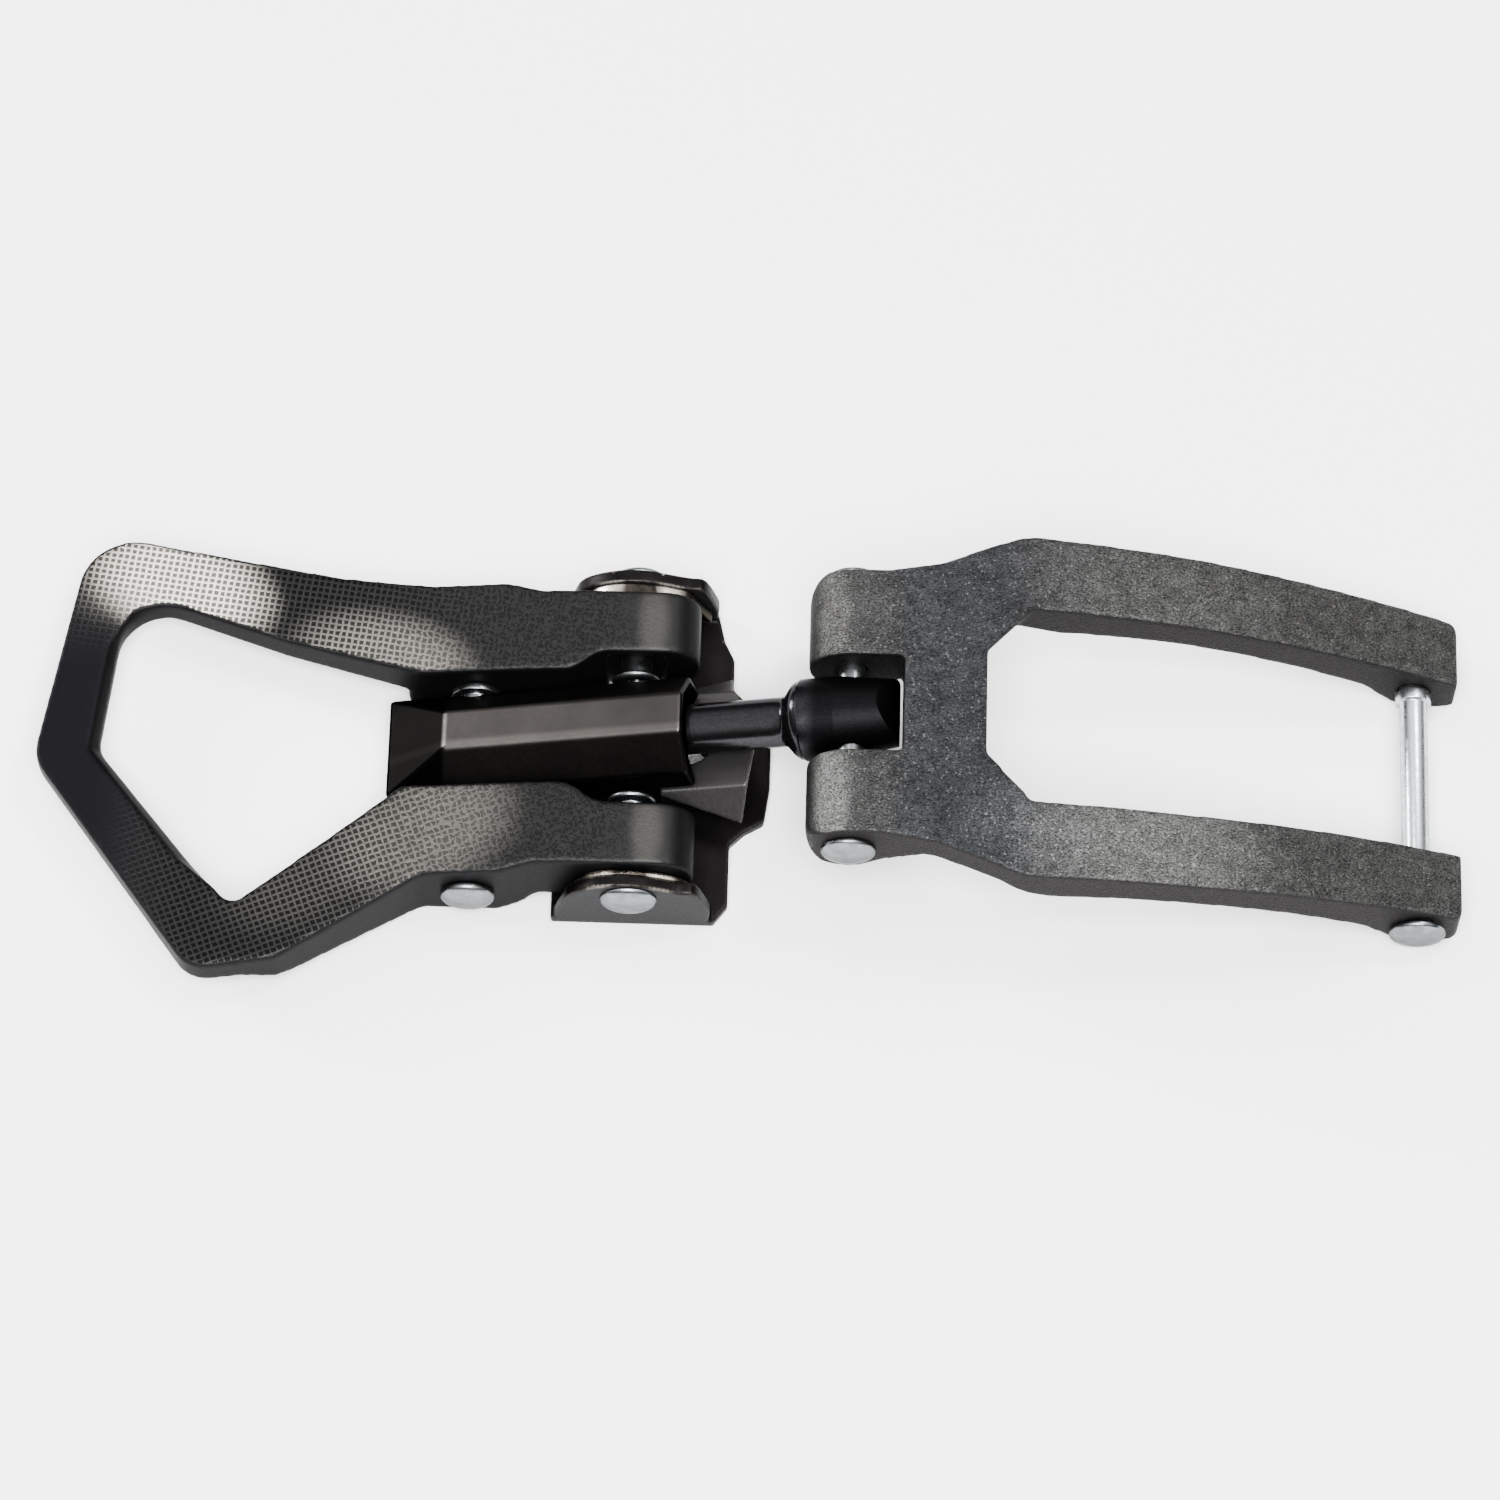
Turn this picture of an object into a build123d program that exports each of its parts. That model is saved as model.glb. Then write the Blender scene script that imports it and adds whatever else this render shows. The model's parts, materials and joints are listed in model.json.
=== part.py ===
from build123d import *
import os
from math import asin, cos, radians, sin, tan

# Over-centre lever buckle with a screw-adjusted draw rod and a forked yoke.
# Millimetres. +Z is away from the mounting surface, which is the plane Z = 0.
# +X points along the pull, from the lever's loop to the catch pin. The lever's
# pivot stands above the origin, and the XZ plane runs down the middle.
os.makedirs("parts", exist_ok=True)

# --- driving dimensions -------------------------------------------------------
pivot_z = 6.4            # lever pivot A, above the origin
link_x = -16.0           # link pivot B, where the housing hangs in the lever
link_z = 4.2             # lower than A, so a closed lever locks past centre
rod_pitch = 14.5         # degrees that housing and rod rise towards the yoke
yoke_pin_x = 21.5        # yoke pivot C, at the rod's eye
yoke_pin_z = link_z + (yoke_pin_x - link_x) * tan(radians(rod_pitch))
eye_u = (yoke_pin_x - link_x) / cos(radians(rod_pitch))   # C along the rod from B
catch_x = 78.3           # catch pin D, at the end of the yoke
catch_z = 3.5
running_gap = 0.05       # radial clearance of a pin that turns in its hole
through = 40.0           # longer than any piece is thick, for cuts that go right through
below = -1.0             # height just under a piece, where an upward cut starts

# --- base ---------------------------------------------------------------------
floor_t = 1.2
floor_left = -7.8
floor_right = 9.8
ear_t = 1.4
ear_near = 15.7          # inner face of the near ear, and of the far one
ear_far = 16.4
ear_top = 9.4
strip_half = 7.9         # half-width of the strip between the two nose windows
window_half = 4.7        # windows under the lever's noses, along X
tongue_x = 13.7
rivet_hole_r = 2.1
rivet_hole_x = (-5.3, 5.5)

# --- lever --------------------------------------------------------------------
arm_outer_a = 15.0       # arm outer face beside the ears
arm_outer_b = 15.9       # and at the swell around the link pins
arm_inner_a = 8.2
arm_inner_b = 6.1
arm_middle = 12.0        # about halfway through an arm, where its pin holes are placed
nose_x = 6.35            # the nose clears the mounting surface when it swings down
arm_top_a = 10.4

# --- housing and rod ----------------------------------------------------------
housing_top = 4.45       # height of the top facet above the rod's axis
housing_half = 5.3
facet_half = 2.05        # half-width of the top facet
cavity_half = 4.2
cavity_top = 3.4
mouth_u = 22.5
rod_r = 2.5
eye_r = 4.1
nut_u = (8.5, 13.5)
stop_u = (-2.6, -1.7)
stop_neck_r = 1.6

# --- pins ---------------------------------------------------------------------
pivot_r = 1.6
link_pin_r = 1.5
yoke_pin_r = 1.5
catch_r = 1.4

# --- yoke ---------------------------------------------------------------------
ear_half = 14.3
slot_near = 5.4
slot_far = 4.9
slot_end = 26.6
yoke_end = 82.6

# Planes. The rod plane lies along the rod in the middle plane of the buckle:
# its local x runs from B towards C and its local y is square to the rod, upwards.
side_plane = Plane.XZ
rod_direction = (cos(radians(rod_pitch)), 0, sin(radians(rod_pitch)))
rod_plane = Plane(origin=(link_x, 0, link_z), x_dir=rod_direction, z_dir=(0, -1, 0))
rod_section = Plane(origin=(link_x, 0, link_z), x_dir=(0, 1, 0), z_dir=rod_direction)


def cross_plane(x, y, z):
    """A plane square to Y at the given place, for pins that run along +Y."""
    return Plane(origin=(x, y, z), x_dir=(1, 0, 0), z_dir=(0, 1, 0))


def corner(sketch, x, y):
    """The vertex of a sketch that lies nearest to a point."""
    return sketch.vertices().sort_by_distance(Vector(x, y, 0))[0]


def save(builder, name):
    """Label a finished sub-part and write it to its own file."""
    builder.part.label = name
    export_step(builder.part, f"parts/{name}.step")


# --- base plate: floor, two ears and a front tongue, pressed from one sheet -----
ears = ((-1, ear_near), (1, ear_far))
with BuildPart() as base_plate:
    with BuildSketch(Plane.XY):
        with BuildLine():
            Polyline(
                (floor_left, -ear_near - ear_t),
                (8.4, -ear_near - ear_t),
                (floor_right, -15.2),
                (floor_right, -8.6),
                (11.2, -7.2),
                (13.2, -6.0),
                (tongue_x, -2.2),
                (tongue_x, 2.2),
                (13.2, 6.0),
                (11.2, 7.2),
                (floor_right, 8.6),
                (floor_right, 11.9),
                (8.8, 14.0),
                (7.9, ear_far + ear_t),
                (floor_left, ear_far + ear_t),
                close=True,
            )
        make_face()
        for side, inner in ears:
            with Locations((0, side * (strip_half + inner) / 2)):
                Rectangle(2 * window_half, inner - strip_half, mode=Mode.SUBTRACT)
    extrude(amount=floor_t)
    for side, inner in ears:
        with BuildSketch(cross_plane(0, side * inner, 0)):
            with BuildLine():
                Line((7.9, 0), (floor_left, 0))
                Line((floor_left, 0), (-6.3, -5.8))
                Spline(
                    (-6.3, -5.8),
                    (-4.5, -8.2),
                    (0.6, -ear_top),
                    (5.2, -8.0),
                    (8.1, -3.0),
                    tangents=((1.5, -5.8), (1.0, 4.0)),
                )
                Line((8.1, -3.0), (7.9, 0))
            make_face()
        extrude(amount=side * ear_t)
        with Locations(cross_plane(0, side * inner, pivot_z)):
            Hole(pivot_r, depth=2 * ear_t)
    with Locations(*[(x, 0, floor_t) for x in rivet_hole_x]):
        Hole(rivet_hole_r)
save(base_plate, "base_plate")

# --- guide saddle: folded sheet that the rod rests on ---------------------------
saddle_half = 5.2
saddle_t = 0.9
saddle_gap = 0.25
saddle_left, saddle_right = 2.8, 12.4
leg_inner, leg_outer = 3.6, 4.5
leg_right = 10.8
access_top = 12.0


def saddle_height(x):
    """Height of the saddle's roof, parallel to the rod and just under it."""
    axis_height = link_z + (x - link_x) * tan(radians(rod_pitch))
    return axis_height - (rod_r + saddle_gap) / cos(radians(rod_pitch))


def saddle_outline(x, wing_z):
    """Corners of the folded sheet at one station: flat roof and 45 degree wings."""
    top = saddle_height(x)
    reach = saddle_half + top - wing_z
    edge = saddle_t * sin(radians(45))
    fold = saddle_half - saddle_t * tan(radians(22.5))
    right_half = [
        (saddle_half, top),
        (reach, wing_z),
        (reach - edge, wing_z - edge),
        (fold, top - saddle_t),
    ]
    left_half = [(-y, z) for y, z in reversed(right_half)]
    return right_half + left_half


with BuildPart() as guide_saddle:
    for x, wing_z in ((saddle_left, saddle_height(saddle_left) - 0.4), (saddle_right, 5.3)):
        station = Plane(origin=(x, 0, 0), x_dir=(0, 1, 0), z_dir=(1, 0, 0))
        with BuildSketch(station):
            with BuildLine():
                Polyline(*saddle_outline(x, wing_z), close=True)
            make_face()
    loft(ruled=True)
    for side in (-1, 1):
        with BuildSketch(cross_plane(0, side * leg_inner, 0)):
            with BuildLine():
                Polyline(
                    (saddle_left, -floor_t),
                    (leg_right, -floor_t),
                    (leg_right, saddle_t / 2 - saddle_height(leg_right)),
                    (saddle_left, saddle_t / 2 - saddle_height(saddle_left)),
                    close=True,
                )
            make_face()
        extrude(amount=side * (leg_outer - leg_inner))
    with BuildSketch(Plane.XY):
        with BuildLine():
            Polyline(
                (saddle_left, -12),
                (10.4, -12),
                (12.2, 0),
                (11.4, 2.6),
                (9.9, 5.4),
                (9.5, 12),
                (saddle_left, 12),
                close=True,
            )
        make_face()
    extrude(amount=through, mode=Mode.INTERSECT)
    # access to the base's front fixing hole
    with Locations((rivet_hole_x[1], 0, access_top)):
        Hole(rivet_hole_r + 0.3, depth=access_top)
save(guide_saddle, "guide_saddle")

# --- lever pivot: one short rivet and one arched shim on each side --------------
dome_t = 1.0
dome_edge_r = 2.8
dome_sphere_r = (dome_t**2 + dome_edge_r**2) / (2 * dome_t)
dome_half_angle = asin(dome_edge_r / dome_sphere_r) / 2
dome_middle_t = dome_t - dome_sphere_r * (1 - cos(dome_half_angle))
dome_middle_r = dome_sphere_r * sin(dome_half_angle)
inner_head_y = 6.2
shim_gap = 0.1
shim_arch = [(-6.0, -5.2), (-4.3, -7.9), (0.6, 0.3 - ear_top), (5.0, -7.7), (7.4, -3.2)]
for (side, inner), name in zip(ears, ("left", "right")):
    outer = inner + ear_t
    with BuildPart() as pivot_rivet:
        with BuildSketch(Plane(origin=(0, 0, pivot_z), x_dir=(0, side, 0), z_dir=(side, 0, 0))):
            with BuildLine():
                Polyline(
                    (inner_head_y, 0),
                    (inner_head_y, 2.2),
                    (inner_head_y + 0.4, 2.55),
                    (inner_head_y + 0.8, 2.2),
                    (inner_head_y + 0.9, pivot_r),
                    (outer, pivot_r),
                    (outer, dome_edge_r),
                )
                ThreePointArc(
                    (outer, dome_edge_r),
                    (outer + dome_middle_t, dome_middle_r),
                    (outer + dome_t, 0),
                )
                Line((outer + dome_t, 0), (inner_head_y, 0))
            make_face()
        revolve(axis=Axis((0, 0, pivot_z), (0, 1, 0)))
    save(pivot_rivet, f"pivot_rivet_{name}")

    with BuildPart() as ear_shim:
        with BuildSketch(cross_plane(0, side * (arm_outer_a + shim_gap), 0)):
            with BuildLine():
                Spline(*shim_arch, tangents=((0.3, -1.0), (0.5, 1.0)))
                Line(shim_arch[-1], shim_arch[0])
            make_face()
            with Locations((0, -pivot_z)):
                Circle(pivot_r, mode=Mode.SUBTRACT)
        extrude(amount=side * (inner - arm_outer_a - shim_gap))
    save(ear_shim, f"ear_shim_{name}")

# --- lever: two arms that run into an uneven five-sided finger loop -------------
loop_outer = [
    (-55.6, 21.8),
    (-59.9, -3.3),
    (-43.0, -26.1),
    (-34.6, -24.8),
]
loop_inner = [
    (-35.1, 9.7),
    (-51.6, 15.2),
    (-53.5, -2.0),
    (-39.3, -19.2),
]
throat_x = -23.5
swell_x = (-7.4, -2.6)   # where the arms' inner faces step outwards to the noses
slope_low = [
    (-46.0, 12.8),
    (-48.0, 12.9),
    (-50.0, 12.2),
    (-52.0, 9.0),
    (-53.2, -1.9),
    (-43.8, -13.4),
    (-40.2, -17.6),
]
slope_high = [
    (-46.0, 13.0),
    (-48.6, 14.1),
    (-51.2, 13.6),
    (-53.8, 9.4),
    (-55.2, -2.5),
    (-45.3, -14.6),
    (-40.4, -17.8),
]
slope_z = (4.7, 7.5)
relief_top = 3.2
pocket_half = 2.8
pocket_depth = 1.1
pocket_top = 9.0
with BuildPart() as lever:
    with BuildSketch(Plane.XY) as lever_plan:
        with BuildLine():
            Polyline(
                (nose_x, -arm_outer_a),
                (nose_x, arm_outer_a),
                (-9.7, arm_outer_a),
                (-13.0, arm_outer_b),
                (-20.5, arm_outer_b),
                (-30.0, 17.0),
                *loop_outer,
                (-20.5, -arm_outer_b),
                (-13.0, -arm_outer_b),
                (-9.7, -arm_outer_a),
                close=True,
            )
        make_face()
        for (x, y), radius in zip(loop_outer, (5.6, 4.0, 3.5, 2.0)):
            fillet(corner(lever_plan, x, y), radius)
        for side in (-1, 1):
            fillet(corner(lever_plan, -9.7, side * arm_outer_a), 2.5)
            fillet(corner(lever_plan, -13.0, side * arm_outer_b), 2.5)
            fillet(corner(lever_plan, -20.5, side * arm_outer_b), 3.0)
    extrude(amount=through)
    with BuildSketch(Plane.XY.offset(below)) as loop_plan:
        with BuildLine():
            Polyline(
                (-21.5, arm_inner_b),
                *loop_inner,
                (-22.8, -arm_inner_b),
                close=True,
            )
        make_face()
        for (x, y), radius in zip(loop_inner[1:], (5.0, 3.0, 1.6)):
            fillet(corner(loop_plan, x, y), radius)
    extrude(amount=through, mode=Mode.SUBTRACT)
    with BuildSketch(Plane.XY.offset(below)):
        with BuildLine():
            Polyline(
                (swell_x[0], -arm_inner_b),
                (throat_x, -arm_inner_b),
                (throat_x, arm_inner_b),
                (swell_x[0], arm_inner_b),
            )
            Spline(
                (swell_x[0], arm_inner_b),
                (swell_x[1], arm_inner_a),
                tangents=((1, 0), (1, 0)),
            )
            Polyline(
                (swell_x[1], arm_inner_a),
                (nose_x + 1, arm_inner_a),
                (nose_x + 1, -arm_inner_a),
                (swell_x[1], -arm_inner_a),
            )
            Spline(
                (swell_x[1], -arm_inner_a),
                (swell_x[0], -arm_inner_b),
                tangents=((-1, 0), (-1, 0)),
            )
        make_face()
    extrude(amount=through, mode=Mode.SUBTRACT)
    with BuildSketch(side_plane):
        with BuildLine():
            Spline(
                (-61.0, 6.2),
                (-46.0, 6.7),
                (-21.0, 8.3),
                (-3.0, arm_top_a),
                tangents=((1, 0.03), (1, 0)),
            )
            Line((-3.0, arm_top_a), (2.65, arm_top_a))
            ThreePointArc((2.65, arm_top_a), (5.27, 9.32), (nose_x, 6.7))
            ThreePointArc((nose_x, 6.7), (4.95, 2.75), (1.6, 1.0))
            Polyline(
                (1.6, 1.0),
                (-2.2, 1.0),
                (-3.6, 2.2),
                (-9.0, 2.2),
                (-10.6, 0.6),
                (-12.5, 0.0),
                (-20.0, 0.0),
                (-29.0, 1.1),
                (-33.0, 1.5),
                (-38.0, 3.2),
                (-61.0, 3.6),
                (-61.0, 6.2),
            )
        make_face()
    extrude(amount=through, both=True, mode=Mode.INTERSECT)
    # the loop's underside is relieved along its inner edge
    with BuildSketch(Plane.XY.offset(below)):
        with BuildLine():
            Polyline(
                (-23.0, 9.6),
                (-38.0, 14.2),
                (-38.0, -19.9),
                (-36.0, -19.0),
                (-23.0, -10.5),
                close=True,
            )
        make_face()
    extrude(amount=relief_top - below, mode=Mode.SUBTRACT)
    # the loop's inner edge slopes down to the opening on its left and near bars
    for z, outline in zip(slope_z, (slope_low, slope_high)):
        with BuildSketch(Plane.XY.offset(z)):
            with BuildLine():
                Polyline(*outline, (-44.0, 0.0), close=True)
            make_face()
    loft(ruled=True, mode=Mode.SUBTRACT)
    for side in (-1, 1):
        # pocket in the arm's inner face around the pivot, open underneath
        with BuildSketch(Plane.XY):
            with Locations((0, side * (arm_inner_a + pocket_depth / 2))):
                Rectangle(2 * pocket_half, pocket_depth)
        extrude(amount=pocket_top, mode=Mode.SUBTRACT)
        with Locations(cross_plane(0, side * arm_middle, pivot_z)):
            Hole(pivot_r + running_gap, depth=arm_middle - 2)
        with Locations(cross_plane(link_x, side * arm_middle, link_z)):
            Hole(link_pin_r + running_gap, depth=arm_middle - 2)
save(lever, "lever")

# --- link housing: eight-sided cover over the thread, open underneath -----------
cavity_u = -1.5          # the cavity's full section starts here along the rod
cavity_bevel = 5.35      # y plus height along the bevel between its side and top


def cavity_outline(top, bottom):
    """The housing's inner section: straight sides, 45 degree bevels and a flat top."""
    right_half = [
        (cavity_bevel - top, top),
        (cavity_half, cavity_bevel - cavity_half),
        (cavity_half, bottom),
    ]
    left_half = [(-y, z) for y, z in reversed(right_half)]
    return right_half + left_half


wall_top = 1.2
wall_bottom = -5.0
cavity_bottom = -8.0
blank_u = -12.0
skirt_z = 0.4            # the housing's lower edge, just above the base's strip
bevel_start = (-1.9, housing_top)
bevel_end = (-8.8, 1.1)
deep_edge, shallow_edge = -3.2, -2.2
with BuildPart() as link_housing:
    with BuildSketch(rod_section.offset(blank_u)):
        with BuildLine():
            Polyline(
                (-housing_half, wall_bottom),
                (-housing_half, wall_top),
                (-facet_half, housing_top),
                (facet_half, housing_top),
                (housing_half, wall_top),
                (housing_half, wall_bottom),
                close=True,
            )
        make_face()
    extrude(amount=through)
    with BuildSketch(rod_plane):
        with BuildLine():
            Polyline(
                (mouth_u, housing_top + 1),
                (bevel_start[0], housing_top + 1),
                bevel_start,
                bevel_end,
                (bevel_end[0], wall_bottom),
                (7.5, deep_edge),
                (9.0, shallow_edge),
                (mouth_u, shallow_edge),
                close=True,
            )
        make_face()
    extrude(amount=through, both=True, mode=Mode.INTERSECT)
    for u, top in ((cavity_u, cavity_top), (cavity_u - 3.1, 1.9)):
        with BuildSketch(rod_section.offset(u)):
            with BuildLine():
                Polyline(*cavity_outline(top, cavity_bottom), close=True)
            make_face()
    loft(ruled=True, mode=Mode.SUBTRACT)
    with BuildSketch(rod_section.offset(cavity_u)):
        with BuildLine():
            Polyline(*cavity_outline(cavity_top, cavity_bottom), close=True)
        make_face()
    extrude(amount=through, mode=Mode.SUBTRACT)
    with BuildSketch(Plane.XY.offset(skirt_z)):
        with Locations((link_x, 0)):
            Rectangle(through, through)
    extrude(amount=-through, mode=Mode.SUBTRACT)
    with Locations(cross_plane(link_x, 0, link_z)):
        Hole(link_pin_r, depth=through)
save(link_housing, "link_housing")

# --- thread nut: square nut held in the housing near its mouth ------------------
with BuildPart() as thread_nut:
    with BuildSketch(rod_section.offset(nut_u[0])):
        with BuildLine():
            Polyline(*cavity_outline(cavity_top, -2.4), close=True)
        make_face()
        Circle(rod_r + running_gap, mode=Mode.SUBTRACT)
    extrude(amount=nut_u[1] - nut_u[0])
save(thread_nut, "thread_nut")

# --- link pins: headed pins from the arms into the housing's walls --------------
head_r = 2.7
head_t = 0.9
link_head_t = 1.2
collar_r = 2.5
for side, name in ((-1, "left"), (1, "right")):
    with BuildPart() as link_pin:
        with BuildSketch(cross_plane(link_x, side * cavity_half, link_z)):
            Circle(link_pin_r)
        extrude(amount=side * (arm_outer_b + 0.1 - cavity_half))
        with BuildSketch(cross_plane(link_x, side * housing_half, link_z)):
            Circle(collar_r)
        extrude(amount=side * (arm_inner_b - housing_half - 0.1))
        with BuildSketch(cross_plane(link_x, side * (arm_outer_b + 0.1), link_z)):
            Circle(head_r)
        extrude(amount=side * link_head_t)
        head_face = link_pin.faces().sort_by(Axis.Y)[-1 if side > 0 else 0]
        fillet(head_face.edges(), 0.55)
    save(link_pin, f"link_pin_{name}")

# --- end stop: keyed plate on the rod's tail, keeps the screw in the nut --------
stop_half = cavity_half - 0.1
stop_top = 2.6
stop_bevel = 0.8
with BuildPart() as end_stop:
    with BuildSketch(rod_section.offset(stop_u[0])):
        with BuildLine():
            Polyline(
                (-stop_half, -stop_top),
                (-stop_half, stop_bevel),
                (stop_bevel - stop_top - 0.1, stop_top),
                (stop_top - stop_bevel + 0.1, stop_top),
                (stop_half, stop_bevel),
                (stop_half, -stop_top),
                close=True,
            )
        make_face()
        Circle(stop_neck_r + running_gap, mode=Mode.SUBTRACT)
    extrude(amount=stop_u[1] - stop_u[0])
save(end_stop, "end_stop")

# --- draw rod: threaded shank, smooth neck and tapered eye ----------------------
eye_end_r = 4.85
eye_end_half = 3.35
with BuildPart() as draw_rod:
    with BuildSketch(rod_plane):
        with BuildLine():
            Polyline(
                (-3.4, 0),
                (-3.4, 1.9),
                (-3.2, 2.2),
                (stop_u[0] - 0.05, 2.2),
                (stop_u[0] - 0.05, stop_neck_r),
                (stop_u[1] + 0.05, stop_neck_r),
                (stop_u[1] + 0.05, 2.1),
                (-1.2, rod_r),
                (eye_u - 7.6, rod_r),
            )
            Spline(
                (eye_u - 7.6, rod_r),
                (eye_u - 6.6, 2.55),
                (eye_u - 4.9, 3.95),
                tangents=((1, 0), (1, 0.15)),
            )
            Polyline(
                (eye_u - 4.9, 3.95),
                (eye_u - 4.7, eye_r),
                (eye_u - 1.0, eye_r),
                (eye_u + eye_end_r, eye_end_half),
                (eye_u + eye_end_r, 0),
                (-3.4, 0),
            )
        make_face()
    revolve(axis=Axis((link_x, 0, link_z), rod_direction))
    # the eye's end is rounded about the yoke pin, so that it clears the end of the slot
    with BuildSketch(rod_plane):
        with Locations((eye_u + eye_end_r, 0)):
            Rectangle(2 * eye_end_r, 3 * eye_r)
        with Locations((eye_u, 0)):
            Circle(eye_end_r, mode=Mode.SUBTRACT)
    extrude(amount=2 * eye_r, both=True, mode=Mode.SUBTRACT)
    with Locations(cross_plane(yoke_pin_x, 0, yoke_pin_z)):
        Hole(yoke_pin_r + running_gap, depth=through)
save(draw_rod, "draw_rod")

# --- yoke: slotted bridge and two curved arms that hook down to the catch pin ---
yoke_edge = [
    (17.2, ear_half),
    (25.0, ear_half),
    (30.2, 15.2),
    (38.6, 18.5),
    (56.0, 17.9),
    (yoke_end, 16.3),
]
window_root = [
    (35.0, 5.5),
    (39.7, 10.4),
]
window_edge = [
    *window_root,
    (56.0, 10.2),
    (yoke_end + 1, 9.3),
]
root_shift = 3.0         # the window's root slopes back under the bridge by this
root_z = (12.0, 18.8)
boss_r = yoke_pin_x - 17.2
with BuildPart() as yoke:
    with BuildSketch(Plane.XY) as yoke_plan:
        with BuildLine():
            Polyline(
                *yoke_edge,
                *[(x, -y) for x, y in reversed(yoke_edge)],
                close=True,
            )
        make_face()
        for side in (-1, 1):
            fillet(corner(yoke_plan, 17.2, side * ear_half), 2.2)
            fillet(corner(yoke_plan, 38.6, side * 18.5), 6.0)
            fillet(corner(yoke_plan, yoke_end, side * 16.3), 1.0)
        with BuildLine():
            Polyline(
                *window_edge,
                *[(x, -y) for x, y in reversed(window_edge)],
                close=True,
            )
        make_face(mode=Mode.SUBTRACT)
        with Locations((slot_end - 10, (slot_far - slot_near) / 2)):
            Rectangle(20, slot_near + slot_far, mode=Mode.SUBTRACT)
    extrude(amount=through)
    with BuildSketch(side_plane):
        with BuildLine():
            ThreePointArc(
                (yoke_pin_x + 1.4, yoke_pin_z - boss_r + 0.2),
                (yoke_pin_x - boss_r, yoke_pin_z),
                (yoke_pin_x - 0.4, yoke_pin_z + boss_r),
            )
            Polyline(
                (yoke_pin_x - 0.4, yoke_pin_z + boss_r),
                (30.0, 18.3),
                (35.0, 18.5),
            )
            ThreePointArc((35.0, 18.5), (58.8, 14.6), (yoke_end + 1, 5.2))
            Line((yoke_end + 1, 5.2), (yoke_end + 1, 1.4))
            ThreePointArc((yoke_end + 1, 1.4), (79.2, 0.15), (76.2, 1.0))
            Line((76.2, 1.0), (73.2, 4.2))
            ThreePointArc((73.2, 4.2), (58.0, 10.2), (42.0, 12.6))
            Polyline(
                (42.0, 12.6),
                (36.0, 14.6),
                (29.0, 14.2),
                (yoke_pin_x + 1.4, yoke_pin_z - boss_r + 0.2),
            )
        make_face()
    extrude(amount=through, both=True, mode=Mode.INTERSECT)
    # the bridge thins towards the window, whose root slopes back underneath
    for z, shift in zip(root_z, (root_shift, 0)):
        with BuildSketch(Plane.XY.offset(z)):
            with BuildLine():
                root = [(x - shift, y) for x, y in window_root]
                Polyline(
                    *root,
                    (45.0, 10.4),
                    (45.0, -10.4),
                    *[(x, -y) for x, y in reversed(root)],
                    close=True,
                )
            make_face()
    loft(ruled=True, mode=Mode.SUBTRACT)
    with Locations(cross_plane(yoke_pin_x, 0, yoke_pin_z)):
        Hole(yoke_pin_r, depth=through)
    with Locations(cross_plane(catch_x, 0, catch_z)):
        Hole(catch_r, depth=through)
save(yoke, "yoke")

# --- yoke pin: headed at both ends, fixed in the yoke, turns in the rod's eye ---
far_head_t = 1.3
with BuildPart() as yoke_pin:
    with BuildSketch(cross_plane(yoke_pin_x, -ear_half, yoke_pin_z)):
        Circle(yoke_pin_r)
    extrude(amount=2 * ear_half)
    for side, thickness in ((-1, head_t), (1, far_head_t)):
        with BuildSketch(cross_plane(yoke_pin_x, side * ear_half, yoke_pin_z)):
            Circle(head_r)
        extrude(amount=side * thickness)
        head_face = yoke_pin.faces().sort_by(Axis.Y)[-1 if side > 0 else 0]
        chamfer(head_face.edges(), 0.3)
save(yoke_pin, "yoke_pin")

# --- catch pin: hooks under the catch's teeth; headed at the near side ----------
catch_head_y = -16.8
catch_tail_y = 16.4
with BuildPart() as catch_pin:
    with BuildSketch(cross_plane(catch_x, catch_head_y, catch_z)):
        Circle(catch_r)
    extrude(amount=catch_tail_y - catch_head_y)
    with BuildSketch(cross_plane(catch_x, 8.1, catch_z)):
        Circle(1.8)
    extrude(amount=1.2)
    with BuildSketch(cross_plane(catch_x, catch_head_y, catch_z)):
        Circle(2.8)
    extrude(amount=-head_t)
    chamfer(catch_pin.faces().sort_by(Axis.Y)[0].edges(), 0.3)
save(catch_pin, "catch_pin")
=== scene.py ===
import json
from math import cos, pi, radians, sin

import bmesh
import bpy
from mathutils import Matrix, Vector


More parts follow.
